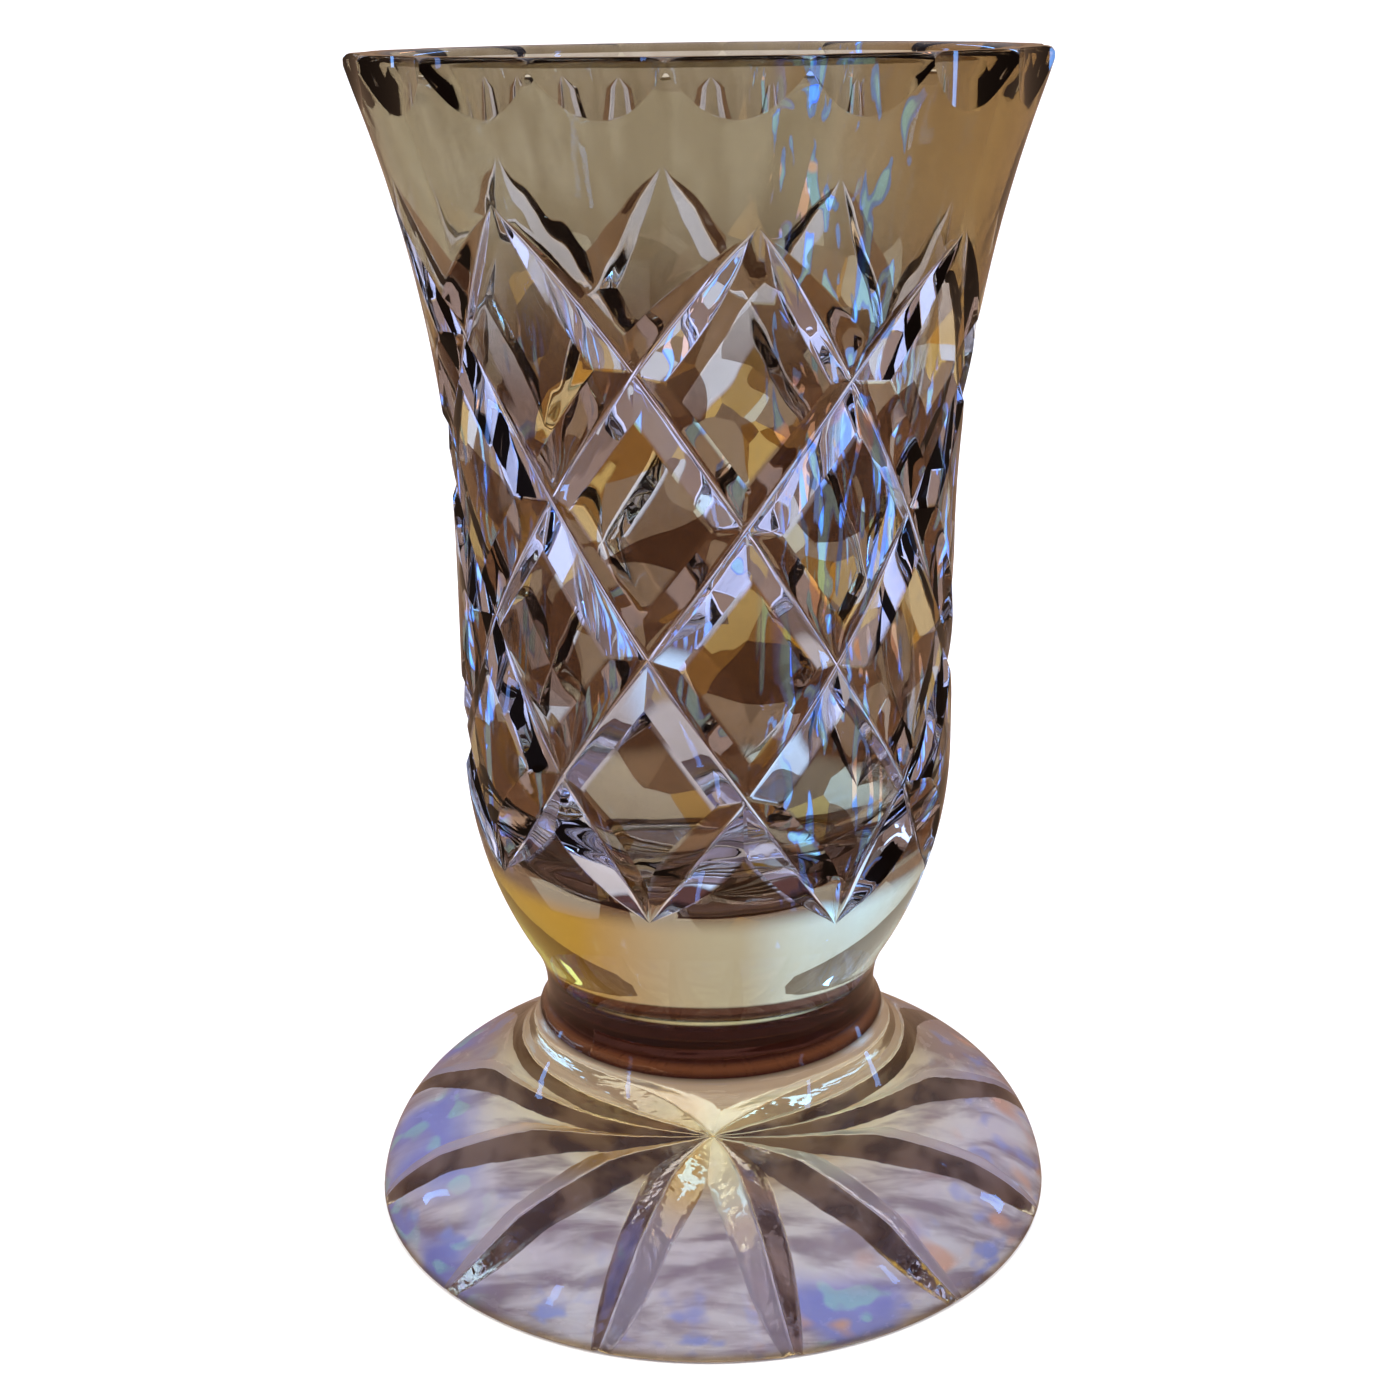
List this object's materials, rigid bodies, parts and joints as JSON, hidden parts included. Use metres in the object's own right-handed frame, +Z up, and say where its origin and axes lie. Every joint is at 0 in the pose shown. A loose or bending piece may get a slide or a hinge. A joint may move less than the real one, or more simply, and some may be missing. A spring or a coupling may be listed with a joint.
{
  "type": "cut crystal vase",
  "caption": "Footed cut crystal vase: flared bowl with diamond cutting and scalloped rim, short collar, thick domed foot with a star cut underneath.",
  "frame": {"origin": "centre of the foot's underside", "axes": "+Z up along the vase's axis; the side seen in the picture faces -Y, and +X is to its right"},
  "size_m": [0.0918, 0.0918, 0.15],
  "materials": {
    "crystal_bowl": "polished lead crystal, clear with a faint warm cast",
    "crystal_collar": "polished lead crystal, clear with a faint warm cast",
    "crystal_foot": "polished lead crystal, clear with a faint warm cast"
  },
  "bodies": {
    "root": {"bowl": "crystal_bowl", "collar": "crystal_collar", "foot": "crystal_foot"}
  },
  "joints": []
}
